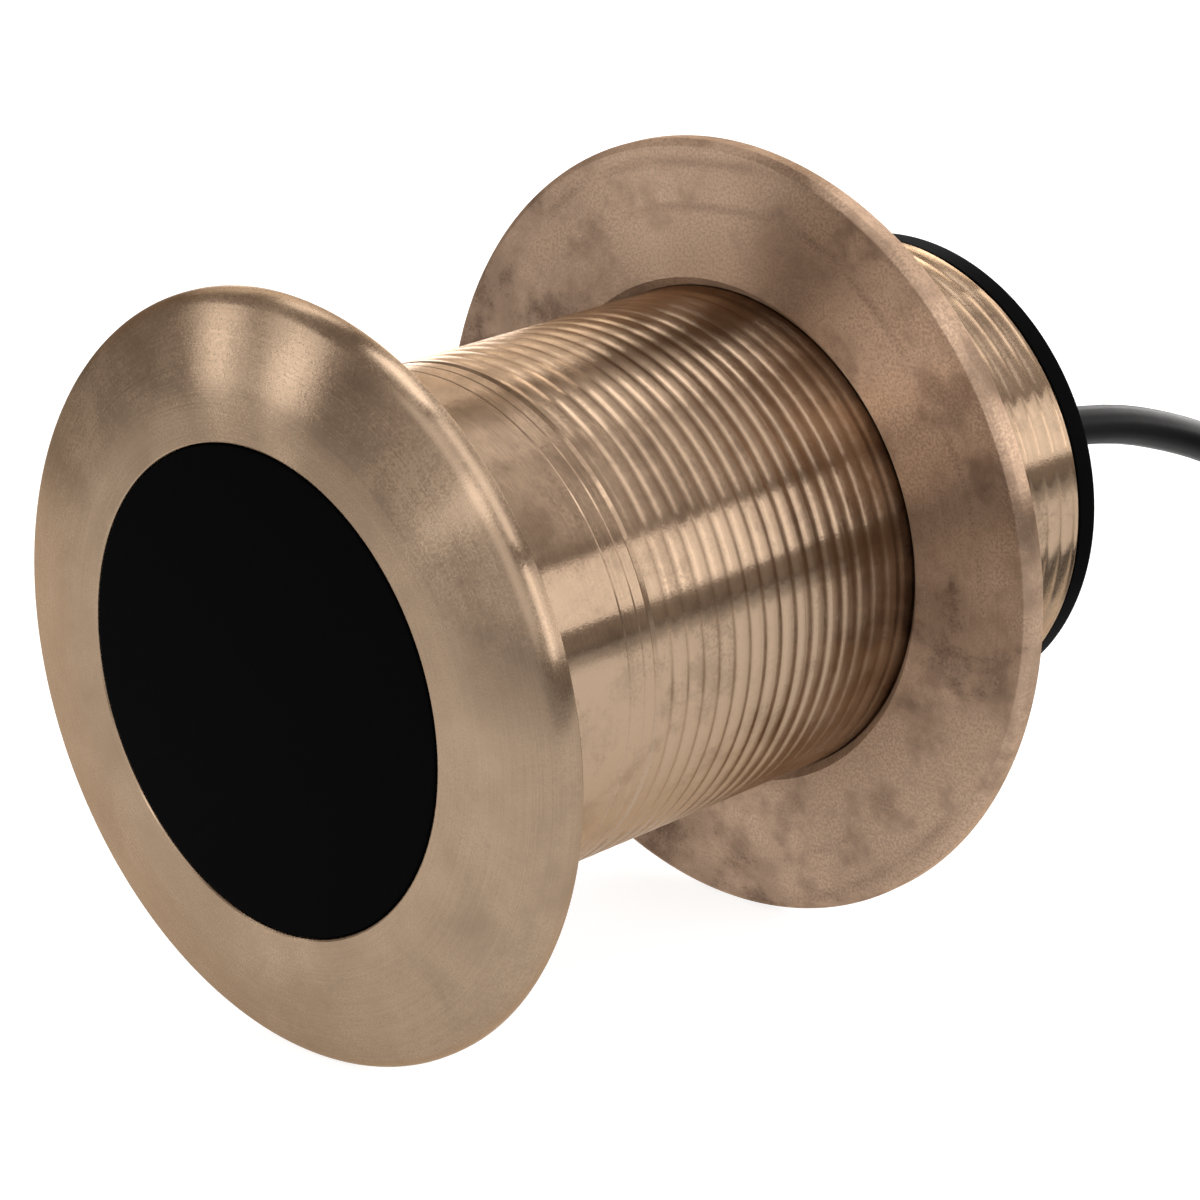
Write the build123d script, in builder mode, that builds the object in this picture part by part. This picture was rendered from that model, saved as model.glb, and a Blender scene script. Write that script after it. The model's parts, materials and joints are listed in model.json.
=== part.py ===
"""A bronze through-hull sonar transducer, lying on the rims of its head and its hull nut.

Lengths are in millimetres and +Z is up. The stem's centre line runs along +Y and rises a little,
because the nut's flange is wider than the head. The origin is on the floor, under the middle of
the transducer without its free cable.
"""

import os
from math import acos, atan2, cos, degrees, hypot, radians, sin, tan

from build123d import *

# Head: the domed cap that lies against the outside of the hull
head_diameter = 74.4
head_flat_diameter = 56.0
head_dome_height = 4.0
head_shoulder_radius = 2.0
head_thickness = 4.8
head_edge_break = 0.3

# Stem: smooth neck, then the length that carries the 2 inch thread, at its full diameter
thread_diameter = 50.8
neck_end = 25.75
neck_groove_depth = 0.35
stem_end = 88.7
stem_end_chamfer = 0.5
stem_bore_diameter = 42.0

# Acoustic window, cast flush into the face
window_diameter = 47.0
window_thickness = 3.0

# Ceramic stack behind the window
element_diameter = 37.6
element_thickness = 10.0
backing_thickness = 4.0
solder_spacing = 18.0
solder_diameter = 3.0
solder_height = 1.2
solder_taper = 20.0
wire_hole_diameter = 4.4
wire_diameter = 1.6
wire_bend_start = 50.0
wire_bend_end = 66.0
wire_pair_spacing = 2.4

# Rear cap and the rubber boot of the cable
cap_diameter = 50.4
cap_thickness = 2.6
cap_edge_break = 0.4
cap_spigot_length = 4.0
boot_plug_diameter = 9.0
boot_base_diameter = 11.0
boot_tip_diameter = 7.0
boot_length = 14.0

# Hull nut: a wide flange with a low wrench hexagon behind it
nut_flange_diameter = 80.8
nut_flange_thickness = 2.4
nut_front_bevel = 0.7
nut_rear_bevel = 0.3
nut_hex_across_flats = 58.0
nut_hex_height = 6.6
nut_hex_chamfer = 1.2
nut_hex_chamfer_length = 2.4
nut_countersink = 0.9
nut_position = 61.5

# Cable and its coil on the floor
cable_diameter = 4.5
cable_buried_end = 82.0
cable_bend = 116.0
coil_centre = (10.0, 172.0)
coil_mean_diameter = 62.0
coil_width = 29.0
coil_height = 34.0
coil_corner = 5.0
tie_width = 6.0
tie_thickness = 1.0
tie_angles = (75, 255)

# Plug at the cable's far end
plug_front = (50.5, 54.0)
plug_heading = 92.0
shell_diameter = 13.0
shell_wall = 0.9
shell_collar_diameter = 15.6
shell_collar_thickness = 1.2
insert_depth = 6.0
insert_thickness = 6.0
seal_width = 1.1
seal_thickness = 1.0
pin_diameter = 1.0
pin_circle_diameter = 6.4
pin_count = 6
pin_recess = 1.5
key_slot_width = 2.0
key_slot_length = 3.5
key_slot_cut = 3.6
ring_diameter = 19.0
ring_setback = 3.0
ring_length = 16.0
ring_thread_diameter = 16.6
ring_lip_thickness = 3.2
ring_grip_count = 12
ring_grip_width = 2.4
ring_grip_depth = 0.7
grip_diameter = 15.0
grip_length = 20.0
grip_edge_break = 0.8
plug_boot_base_diameter = 10.0
plug_boot_tip_diameter = 6.6
plug_boot_length = 16.0
plug_straight_run = 16.0

# Clearances
bond_gap = 0.1
running_clearance = 0.075
ring_play = 0.2
seat_gap = 0.2

# Share of a straight cone's slope at which the dome leaves the flat; less makes a rounder dome
dome_slope_share = 0.6666

# Share of the shorter run that an arc of the cable takes up
arc_share = 0.45


def cone_slope(span, height, shoulder):
    """Slope of the straight line from the flat face's edge that just touches the shoulder."""
    return acos(shoulder / hypot(span, height)) - atan2(span, height)


def dome_radius(span, height, shoulder, slope):
    """Radius of the arc that leaves the flat face at a slope and runs smoothly into the shoulder."""
    drop = height * cos(slope) - shoulder - span * sin(slope)
    return (span**2 + height**2 - shoulder**2) / (2 * drop)


def corner_radii(points):
    """Radius at each inner point of a route: the largest arc that its two runs allow."""
    radii = []
    for before, here, after in zip(points, points[1:], points[2:]):
        turn = (here - before).get_angle(after - here)
        shorter = min((here - before).length, (after - here).length)
        radii.append(arc_share * shorter / tan(radians(turn / 2)))
    return radii


# Resting place: the rim of the head and the rim of the nut's flange both touch the floor
head_radius = head_diameter / 2
nut_radius = nut_flange_diameter / 2
nut_rim = nut_position + nut_front_bevel
stem_tilt = atan2(nut_radius - head_radius, nut_rim - head_dome_height)
face_height = head_radius * cos(stem_tilt) - head_dome_height * sin(stem_tilt)

cap_end = stem_end + cap_thickness
boot_end = cap_end + boot_length
flat_radius = head_flat_diameter / 2
front_reach = -flat_radius * sin(stem_tilt)
rear_reach = cap_end * cos(stem_tilt) + (cap_diameter / 2 - cap_edge_break) * sin(stem_tilt)
face_centre = Vector(0, -(front_reach + rear_reach) / 2, face_height)

# In the section plane, x is the distance from the centre line and y the distance from the face
stem_direction = Vector(0, cos(stem_tilt), sin(stem_tilt))
section_plane = Plane(origin=face_centre, x_dir=(1, 0, 0), z_dir=(0, -sin(stem_tilt), cos(stem_tilt)))
cross_plane = Plane(origin=face_centre, x_dir=(1, 0, 0), z_dir=stem_direction)
stem_axis = Axis(origin=face_centre, direction=stem_direction)


def on_stem(distance, aside=0.0):
    """Point at a distance behind the face, and aside from the centre line along X."""
    return section_plane.from_local_coords(Vector(aside, distance, 0))


# Housing: one bronze casting, turned outside and bored through
stem_radius = thread_diameter / 2
bore_radius = stem_bore_diameter / 2
window_seat_radius = window_diameter / 2 + bond_gap
dome_span = head_radius - head_shoulder_radius - flat_radius
dome_slope = dome_slope_share * cone_slope(dome_span, head_dome_height, head_shoulder_radius)
big_radius = dome_radius(dome_span, head_dome_height, head_shoulder_radius, dome_slope)
dome_end_slope = degrees(
    atan2(
        dome_span + big_radius * sin(dome_slope),
        big_radius * cos(dome_slope) - head_dome_height,
    )
)

with BuildPart() as housing:
    with BuildSketch(section_plane):
        with BuildLine():
            face_edge = Line((window_seat_radius, 0), (flat_radius, 0))
            dome = JernArc(
                face_edge @ 1,
                (cos(dome_slope), sin(dome_slope)),
                big_radius,
                dome_end_slope - degrees(dome_slope),
            )
            shoulder = JernArc(dome @ 1, dome % 1, head_shoulder_radius, 90 - dome_end_slope)
            Polyline(
                shoulder @ 1,
                (head_radius, head_thickness - head_edge_break),
                (head_radius - head_edge_break, head_thickness),
                (stem_radius, head_thickness),
                (stem_radius, neck_end),
                (stem_radius - neck_groove_depth, neck_end + neck_groove_depth),
                (stem_radius, neck_end + 2 * neck_groove_depth),
                (stem_radius, stem_end - stem_end_chamfer),
                (stem_radius - stem_end_chamfer, stem_end),
                (bore_radius, stem_end),
                (bore_radius, window_thickness + bond_gap),
                (window_seat_radius, window_thickness + bond_gap),
                face_edge @ 0,
            )
        make_face()
    revolve(axis=stem_axis)
housing.part.label = "housing"

# Acoustic window: a black urethane disc in the face's recess
with BuildPart() as acoustic_window:
    with BuildSketch(cross_plane):
        Circle(window_diameter / 2)
    extrude(amount=window_thickness)
acoustic_window.part.label = "acoustic_window"

# Ceramic disc, its pressure-release sleeve and the disc behind it
element_front = window_thickness + 2 * bond_gap
element_rear = element_front + element_thickness
backing_front = element_rear + bond_gap
backing_rear = backing_front + backing_thickness
sleeve_radius = bore_radius - bond_gap
element_radius = element_diameter / 2

with BuildPart() as piezo_element:
    with BuildSketch(cross_plane.offset(element_front)):
        Circle(element_radius)
    extrude(amount=element_thickness)
piezo_element.part.label = "piezo_element"

with BuildPart() as element_sleeve:
    with BuildSketch(cross_plane.offset(element_front)):
        Circle(sleeve_radius)
        Circle(element_radius + bond_gap, mode=Mode.SUBTRACT)
    extrude(amount=backing_rear - element_front)
element_sleeve.part.label = "element_sleeve"

with BuildPart() as backing_disc:
    with BuildSketch(cross_plane.offset(backing_front)):
        Circle(element_radius)
        with GridLocations(solder_spacing, 0, 2, 1):
            Circle(wire_hole_diameter / 2, mode=Mode.SUBTRACT)
    extrude(amount=backing_thickness)
backing_disc.part.label = "backing_disc"

with BuildPart() as solder_joints:
    with BuildSketch(cross_plane.offset(element_rear)):
        with GridLocations(solder_spacing, 0, 2, 1):
            Circle(solder_diameter / 2)
    extrude(amount=solder_height, taper=solder_taper)
solder_joints.part.label = "solder_joints"

# Two wires from the ceramic's rear face to the end of the cable's jacket
wire_start = element_rear + solder_height


def wire_route(side):
    """Route of one wire on its side of the centre line, from the ceramic to the cable."""
    return [
        on_stem(wire_start, side * solder_spacing / 2),
        on_stem(wire_bend_start, side * solder_spacing / 2),
        on_stem(wire_bend_end, side * wire_pair_spacing / 2),
        on_stem(cable_buried_end, side * wire_pair_spacing / 2),
    ]


with BuildPart() as signal_wire:
    with BuildLine() as signal_path:
        FilletPolyline(*wire_route(-1), radius=corner_radii(wire_route(-1)))
    with BuildSketch(Plane(origin=signal_path.line @ 0, z_dir=signal_path.line % 0)):
        Circle(wire_diameter / 2)
    sweep()
signal_wire.part.label = "signal_wire"

with BuildPart() as return_wire:
    with BuildLine() as return_path:
        FilletPolyline(*wire_route(1), radius=corner_radii(wire_route(1)))
    with BuildSketch(Plane(origin=return_path.line @ 0, z_dir=return_path.line % 0)):
        Circle(wire_diameter / 2)
    sweep()
return_wire.part.label = "return_wire"

# Potting: the resin that fills the stem, with the channels that the wires and the cable lie in
potting_front = backing_rear + bond_gap
spigot_front = stem_end - cap_spigot_length
cable_radius = cable_diameter / 2

with BuildPart() as potting:
    with BuildSketch(cross_plane.offset(potting_front)):
        Circle(bore_radius - bond_gap)
    extrude(amount=spigot_front - bond_gap - potting_front)
    for side in (-1, 1):
        channel_route = wire_route(side)
        with BuildLine() as channel_path:
            FilletPolyline(*channel_route, radius=corner_radii(channel_route))
        with BuildSketch(Plane(origin=channel_path.line @ 0, z_dir=channel_path.line % 0)):
            Circle(wire_diameter / 2 + bond_gap)
        sweep(path=channel_path.wire(), mode=Mode.SUBTRACT)
    with BuildSketch(cross_plane.offset(cable_buried_end)):
        Circle(cable_radius + bond_gap)
    extrude(amount=spigot_front - cable_buried_end, mode=Mode.SUBTRACT)
potting.part.label = "potting"

# End cap: a black disc with a spigot in the stem's bore
cap_radius = cap_diameter / 2
boot_plug_radius = boot_plug_diameter / 2

with BuildPart() as end_cap:
    with BuildSketch(section_plane):
        with BuildLine():
            Polyline(
                (boot_plug_radius + bond_gap, spigot_front),
                (bore_radius - bond_gap, spigot_front),
                (bore_radius - bond_gap, stem_end),
                (cap_radius, stem_end),
                (cap_radius, cap_end - cap_edge_break),
                (cap_radius - cap_edge_break, cap_end),
                (boot_plug_radius + bond_gap, cap_end),
                close=True,
            )
        make_face()
    revolve(axis=stem_axis)
end_cap.part.label = "end_cap"

# Strain relief: a rubber boot that plugs the cap's hole and tapers along the cable
with BuildPart() as strain_relief:
    with BuildSketch(section_plane):
        with BuildLine():
            Polyline(
                (cable_radius + bond_gap, spigot_front),
                (boot_plug_radius, spigot_front),
                (boot_plug_radius, cap_end),
                (boot_base_diameter / 2, cap_end),
                (boot_tip_diameter / 2, boot_end),
                (cable_radius + bond_gap, boot_end),
                close=True,
            )
        make_face()
    revolve(axis=stem_axis)
strain_relief.part.label = "strain_relief"

# Hull nut: flange towards the head, wrench hexagon towards the cap
nut_front = nut_position
flange_rear = nut_front + nut_flange_thickness
nut_rear = flange_rear + nut_hex_height
nut_bore_radius = stem_radius + running_clearance
hex_corner_radius = nut_hex_across_flats / 2 / cos(radians(30))

with BuildPart() as hull_nut:
    with BuildSketch(section_plane):
        with BuildLine():
            Polyline(
                (0, nut_front),
                (nut_radius - nut_front_bevel, nut_front),
                (nut_radius, nut_rim),
                (nut_radius, flange_rear - nut_rear_bevel),
                (nut_radius - nut_rear_bevel, flange_rear),
                (0, flange_rear),
                close=True,
            )
        make_face()
    revolve(axis=stem_axis)
    with BuildSketch(cross_plane.offset(flange_rear)):
        RegularPolygon(hex_corner_radius, 6)
    extrude(amount=nut_hex_height)
    with BuildSketch(section_plane):
        with BuildLine():
            Polyline(
                (nut_hex_across_flats / 2, nut_rear),
                (hex_corner_radius + nut_hex_chamfer, nut_rear - nut_hex_chamfer_length),
                (hex_corner_radius + nut_hex_chamfer, nut_rear),
                close=True,
            )
        make_face()
    revolve(axis=stem_axis, mode=Mode.SUBTRACT)
    with BuildSketch(section_plane):
        with BuildLine():
            Polyline(
                (0, nut_front),
                (nut_bore_radius + nut_countersink, nut_front),
                (nut_bore_radius, nut_front + nut_countersink),
                (nut_bore_radius, nut_rear),
                (0, nut_rear),
                close=True,
            )
        make_face()
    revolve(axis=stem_axis, mode=Mode.SUBTRACT)
hull_nut.part.label = "hull_nut"

# Cable from inside the stem, through the cap and down to the floor, where it joins the coil
coil_x, coil_y = coil_centre
floor_height = cable_radius + seat_gap
joining_radius = (coil_mean_diameter + coil_width - cable_diameter) / 2

lead_points = [
    on_stem(cable_buried_end),
    on_stem(cable_bend),
    Vector(0.0, 101.5, 34.8),
    Vector(-4.0, 119.5, 23.5),
    Vector(-16.0, 134.5, 10.0),
    Vector(-28.5, 149.5, floor_height),
    Vector(coil_x - joining_radius, coil_y - 2, floor_height),
]

with BuildPart() as cable_lead:
    with BuildLine() as lead_path:
        FilletPolyline(*lead_points, radius=corner_radii(lead_points))
    with BuildSketch(Plane(origin=lead_path.line @ 0, z_dir=lead_path.line % 0)):
        Circle(cable_radius)
    sweep()
cable_lead.part.label = "cable_lead"

# Coil: the outer shape of the wound cable, drawn in where its ties hold it
coil_mean_radius = coil_mean_diameter / 2
tie_drop = tie_thickness + seat_gap


def coil_section_plane(angle):
    """Upright plane through the coil's ring at an angle from +X, centred in the ring."""
    out = Vector(cos(radians(angle)), sin(radians(angle)), 0)
    middle = Vector(coil_x, coil_y, coil_height / 2) + out * coil_mean_radius
    return Plane(origin=middle, x_dir=out, z_dir=out.cross(Vector(0, 0, 1)))


def coil_outline(inset):
    """Outline of the wound bundle in the current sketch, smaller all round by an inset."""
    half_width = coil_width / 2 - inset
    half_height = coil_height / 2 - inset
    corner = coil_corner
    Polygon(
        (half_width, half_height - corner),
        (half_width - corner, half_height),
        (-half_width + corner, half_height),
        (-half_width, half_height - corner),
        (-half_width, -half_height + corner),
        (-half_width + corner, -half_height),
        (half_width - corner, -half_height),
        (half_width, -half_height + corner),
        align=None,
    )


with BuildPart() as cable_coil:
    with BuildSketch(coil_section_plane(0)):
        coil_outline(0)
    revolve(axis=Axis((coil_x, coil_y, 0), (0, 0, 1)))
    for angle in tie_angles:
        with BuildSketch(coil_section_plane(angle)):
            coil_outline(-tie_drop)
        extrude(amount=tie_width / 2 + seat_gap, both=True, mode=Mode.SUBTRACT)
        with BuildSketch(coil_section_plane(angle)):
            coil_outline(tie_drop)
        extrude(amount=tie_width / 2 + seat_gap, both=True)
cable_coil.part.label = "cable_coil"

# Two ties, each a flat band round the bundle
with BuildPart() as coil_tie_far:
    with BuildSketch(coil_section_plane(tie_angles[0])):
        coil_outline(0)
    extrude(amount=tie_width / 2, both=True)
    with BuildSketch(coil_section_plane(tie_angles[0])):
        coil_outline(tie_thickness)
    extrude(amount=tie_width / 2, both=True, mode=Mode.SUBTRACT)
coil_tie_far.part.label = "coil_tie_far"

with BuildPart() as coil_tie_near:
    with BuildSketch(coil_section_plane(tie_angles[1])):
        coil_outline(0)
    extrude(amount=tie_width / 2, both=True)
    with BuildSketch(coil_section_plane(tie_angles[1])):
        coil_outline(tie_thickness)
    extrude(amount=tie_width / 2, both=True, mode=Mode.SUBTRACT)
coil_tie_near.part.label = "coil_tie_near"

# Plug: it lies on its coupling ring, with its contacts towards the front
ring_radius = ring_diameter / 2
plug_direction = Vector(cos(radians(plug_heading)), sin(radians(plug_heading)), 0)
plug_origin = Vector(*plug_front, ring_radius)
plug_side = plug_direction.cross(Vector(0, 0, 1))
plug_section = Plane(origin=plug_origin, x_dir=plug_side, z_dir=plug_side.cross(plug_direction))
plug_cross = Plane(origin=plug_origin, x_dir=plug_side, z_dir=plug_direction)
plug_axis = Axis(origin=plug_origin, direction=plug_direction)

shell_radius = shell_diameter / 2
shell_bore_radius = shell_radius - shell_wall
insert_radius = shell_bore_radius - bond_gap
insert_rear = insert_depth + insert_thickness
ring_rear = ring_setback + ring_length
ring_lip_front = ring_rear - ring_lip_thickness
collar_rear = ring_lip_front - ring_play
collar_front = collar_rear - shell_collar_thickness
grip_front = ring_rear + ring_play
grip_rear = grip_front + grip_length
plug_end = grip_rear + plug_boot_length
grip_radius = grip_diameter / 2

# Keyed metal shroud round the contacts, with the collar that holds the coupling ring
with BuildPart() as plug_shell:
    with BuildSketch(plug_cross):
        Circle(shell_radius)
    extrude(amount=grip_front)
    with BuildSketch(plug_cross.offset(collar_front)):
        Circle(shell_collar_diameter / 2)
    extrude(amount=shell_collar_thickness)
    with BuildSketch(plug_cross):
        Circle(shell_bore_radius)
    extrude(amount=grip_front, mode=Mode.SUBTRACT)
    with BuildSketch(plug_cross):
        with Locations((0, -shell_radius)):
            Rectangle(key_slot_width, key_slot_cut)
    extrude(amount=key_slot_length, mode=Mode.SUBTRACT)
plug_shell.part.label = "plug_shell"

# Insulator with a hole for each contact
with BuildPart() as plug_insert:
    with BuildSketch(plug_cross.offset(insert_depth)):
        Circle(insert_radius)
        Circle(pin_diameter / 2 + bond_gap, mode=Mode.SUBTRACT)
        with PolarLocations(pin_circle_diameter / 2, pin_count):
            Circle(pin_diameter / 2 + bond_gap, mode=Mode.SUBTRACT)
    extrude(amount=insert_thickness)
plug_insert.part.label = "plug_insert"

# One contact in the middle and a circle of others round it
with BuildPart() as plug_pins:
    with BuildSketch(plug_cross.offset(pin_recess)):
        Circle(pin_diameter / 2)
        with PolarLocations(pin_circle_diameter / 2, pin_count):
            Circle(pin_diameter / 2)
    extrude(amount=insert_rear - pin_recess)
plug_pins.part.label = "plug_pins"

# Rubber ring on the insulator, squeezed by the socket's edge
with BuildPart() as plug_seal:
    with BuildSketch(plug_cross.offset(insert_depth - bond_gap)):
        Circle(insert_radius)
        Circle(insert_radius - seal_width, mode=Mode.SUBTRACT)
    extrude(amount=-seal_thickness)
plug_seal.part.label = "plug_seal"

# Moulded grip: it fills the shroud's rear, holds it and tapers into a boot on the cable
with BuildPart() as plug_body:
    with BuildSketch(plug_section):
        with BuildLine():
            Polyline(
                (0, insert_rear + bond_gap),
                (insert_radius, insert_rear + bond_gap),
                (insert_radius, grip_front),
                (grip_radius - grip_edge_break, grip_front),
                (grip_radius, grip_front + grip_edge_break),
                (grip_radius, grip_rear - grip_edge_break),
                (grip_radius - grip_edge_break, grip_rear),
                (plug_boot_base_diameter / 2, grip_rear),
                (plug_boot_tip_diameter / 2, plug_end),
                (0, plug_end),
                close=True,
            )
        make_face()
    revolve(axis=plug_axis)
plug_body.part.label = "plug_body"

# Coupling ring: threaded in front of the collar, with a lip behind it that runs on the shroud
flute_turn = 180 / ring_grip_count

with BuildPart() as coupling_ring:
    with BuildSketch(plug_cross.offset(ring_setback)):
        Circle(ring_diameter / 2)
        with PolarLocations(ring_diameter / 2, ring_grip_count, start_angle=flute_turn):
            Rectangle(2 * ring_grip_depth, ring_grip_width, mode=Mode.SUBTRACT)
    extrude(amount=ring_length)
    with BuildSketch(plug_cross.offset(ring_setback)):
        Circle(ring_thread_diameter / 2)
    extrude(amount=ring_length - ring_lip_thickness, mode=Mode.SUBTRACT)
    with BuildSketch(plug_cross.offset(ring_lip_front)):
        Circle(shell_radius + running_clearance)
    extrude(amount=ring_lip_thickness, mode=Mode.SUBTRACT)
coupling_ring.part.label = "coupling_ring"

# Cable from the coil to the plug
plug_rear = plug_origin + plug_direction * plug_end
tail_points = [
    Vector(coil_x + 33.0, coil_y + 33.0, 24.0),
    Vector(coil_x + 49.0, coil_y + 9.0, 13.0),
    Vector(57.5, 158.5, 3.5),
    Vector(52.0, 141.0, floor_height),
    plug_rear + plug_direction * plug_straight_run,
    plug_rear,
]

with BuildPart() as plug_tail:
    with BuildLine() as tail_path:
        FilletPolyline(*tail_points, radius=corner_radii(tail_points))
    with BuildSketch(Plane(origin=tail_path.line @ 0, z_dir=tail_path.line % 0)):
        Circle(cable_radius)
    sweep()
plug_tail.part.label = "plug_tail"

os.makedirs("parts", exist_ok=True)
export_step(housing.part, "parts/housing.step")
export_step(acoustic_window.part, "parts/acoustic_window.step")
export_step(piezo_element.part, "parts/piezo_element.step")
export_step(element_sleeve.part, "parts/element_sleeve.step")
export_step(backing_disc.part, "parts/backing_disc.step")
export_step(solder_joints.part, "parts/solder_joints.step")
export_step(signal_wire.part, "parts/signal_wire.step")
export_step(return_wire.part, "parts/return_wire.step")
export_step(potting.part, "parts/potting.step")
export_step(end_cap.part, "parts/end_cap.step")
export_step(strain_relief.part, "parts/strain_relief.step")
export_step(hull_nut.part, "parts/hull_nut.step")
export_step(cable_lead.part, "parts/cable_lead.step")
export_step(cable_coil.part, "parts/cable_coil.step")
export_step(coil_tie_far.part, "parts/coil_tie_far.step")
export_step(coil_tie_near.part, "parts/coil_tie_near.step")
export_step(plug_shell.part, "parts/plug_shell.step")
export_step(plug_insert.part, "parts/plug_insert.step")
export_step(plug_pins.part, "parts/plug_pins.step")
export_step(plug_seal.part, "parts/plug_seal.step")
export_step(plug_body.part, "parts/plug_body.step")
export_step(coupling_ring.part, "parts/coupling_ring.step")
export_step(plug_tail.part, "parts/plug_tail.step")
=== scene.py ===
"""Looks of a bronze through-hull sonar transducer with its hull nut, its cable and its plug.

Lengths are in metres and +Z is up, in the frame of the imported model. Each turned piece is made
in its own frame, with its local Z along its centre line, local X level and local Y downwards.
The angles of the coil and of the lamps are in degrees, and all others are in radians.
"""

import json
from math import atan2, ceil, cos, exp, pi, radians, sin, tan
from random import Random

import bmesh
import bpy
from mathutils import Matrix, Vector


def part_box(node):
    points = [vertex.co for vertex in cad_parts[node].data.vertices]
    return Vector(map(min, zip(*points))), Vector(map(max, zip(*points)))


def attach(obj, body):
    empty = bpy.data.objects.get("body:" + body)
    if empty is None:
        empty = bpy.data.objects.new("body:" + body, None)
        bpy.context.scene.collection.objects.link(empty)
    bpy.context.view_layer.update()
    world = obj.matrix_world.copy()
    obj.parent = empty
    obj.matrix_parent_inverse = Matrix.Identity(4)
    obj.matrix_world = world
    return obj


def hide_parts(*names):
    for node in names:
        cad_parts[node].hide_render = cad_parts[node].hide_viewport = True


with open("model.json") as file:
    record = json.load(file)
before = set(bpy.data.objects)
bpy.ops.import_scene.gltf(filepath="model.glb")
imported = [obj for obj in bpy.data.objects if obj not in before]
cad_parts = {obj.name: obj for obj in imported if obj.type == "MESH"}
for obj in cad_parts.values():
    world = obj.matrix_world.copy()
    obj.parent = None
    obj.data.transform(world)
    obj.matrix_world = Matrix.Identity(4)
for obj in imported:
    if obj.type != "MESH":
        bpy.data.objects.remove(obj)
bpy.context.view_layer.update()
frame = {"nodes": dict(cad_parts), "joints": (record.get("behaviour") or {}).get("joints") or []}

# Camera of the photograph
camera_place = (0.265833, -0.270019, 0.147973)
camera_pitch = radians(90 - 16.41)
camera_heading = radians(44.68)
camera_lens = 119.2
camera_sensor = 36.0

# Housing: head, neck and threaded stem, as distances from the centre line and from the face
window_radius = 0.0235
window_thickness = 0.003
bond_gap = 0.0001
head_flat_radius = 0.028
head_radius = 0.0372
head_dome_height = 0.004
head_dome_slope = radians(10)
head_shoulder_radius = 0.002
head_thickness = 0.0048
neck_fillet = 0.0006
stem_radius = 0.0254
neck_end = 0.02575
neck_groove_depth = 0.00035
neck_line_places = (0.0226, 0.0245)
neck_line_depth = 0.0001
stem_end = 0.0887
stem_bore_radius = 0.021
thread_pitch = 0.0254 / 12
thread_depth = 0.0001
thread_crest_power = 2.0
thread_run_out = 0.0012
thread_end_chamfer = 0.0005

# Hull nut
nut_front = 0.0615
nut_flange_radius = 0.0404
nut_flange_thickness = 0.0024
nut_bore_radius = 0.025475
nut_countersink = 0.0009
nut_hex_half_width = 0.029
nut_hex_height = 0.0066
nut_hex_fillet = 0.0003
nut_hex_chamfer_slope = 2.4 / 5.69

# Rear cap and the boot of the cable
cap_radius = 0.0252
cap_thickness = 0.0026
cap_edge_cut = 0.0004
cap_seat_cut = 0.00015
cap_spigot_length = 0.004
cap_spigot_cut = 0.0003
cap_step_outer = 0.0175
cap_step_inner = 0.0091
cap_step_depth = 0.0004
cap_step_cut = 0.0001
boot_plug_radius = 0.0045
boot_base_radius = 0.0055
boot_tip_radius = 0.0035
boot_length = 0.014
boot_grooves = {"count": 5, "width": 0.0009, "depth": 0.00045}

# Cable: its route repeats the points of the part's source
cable_radius = 0.00225
floor_height = 0.00245
cable_buried_end = 0.082
cable_bend = 0.116
coil_centre = Vector((0.01, 0.172, 0.0))
coil_mean_radius = 0.0316
coil_row_counts = (6, 5, 6, 5, 6, 5, 6, 5)
coil_points_per_turn = 16
coil_tight_pitch = 0.00455
coil_slack = 0.03
coil_row_step = 0.86
coil_tie_angles = (75.0, 255.0)
coil_tie_reach = 60.0
coil_tie_lift = 0.00105
coil_start_angle = 180.0
coil_last_angle = 90.0
coil_crossing_start = 0.2
coil_crossing_share = 0.75
coil_jitter = 0.00006
coil_seed = 26

# Ties of the coil: woven bands round the wound turns
tie_width = 0.006
tie_half_span = (0.0145, 0.0168)
tie_corner_cut = 0.0104
tie_thickness = 0.0009
tie_floor_gap = 0.0002
tie_edge = 0.00018
tie_edge_share = 0.12

# Plug at the cable's far end, as distances from its mouth
plug_mouth = Vector((0.0505, 0.054, 0.0095))
plug_heading = radians(92)
plug_insert_rear = 0.0121
plug_insert_radius = 0.0055
plug_body_front = 0.0192
plug_body_rear = 0.0392
plug_grip_radius = 0.0075
plug_grip_margin = 0.001
plug_grip_grooves = {"count": 7, "width": 0.0013, "depth": 0.0005}
plug_boot_end = 0.0552
plug_boot_base_radius = 0.005
plug_boot_tip_radius = 0.0033
plug_boot_grooves = {"count": 6, "width": 0.0009, "depth": 0.0004}
plug_straight_run = 0.016
ring_radius = 0.0095
ring_front = 0.003
ring_rear = 0.019
ring_thread_radius = 0.0083
ring_bore_chamfer = 0.0004
ring_lip_radius = 0.006575
ring_lip_front = 0.0158
ring_band_width = 0.0026
ring_flutes = 12
ring_flute_depth = 0.0007
ring_flute_width = 0.0024
ring_flute_reach = 1.25
ring_flute_starts = ((0.0032, 0.6), (0.0038, 1.0))

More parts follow.
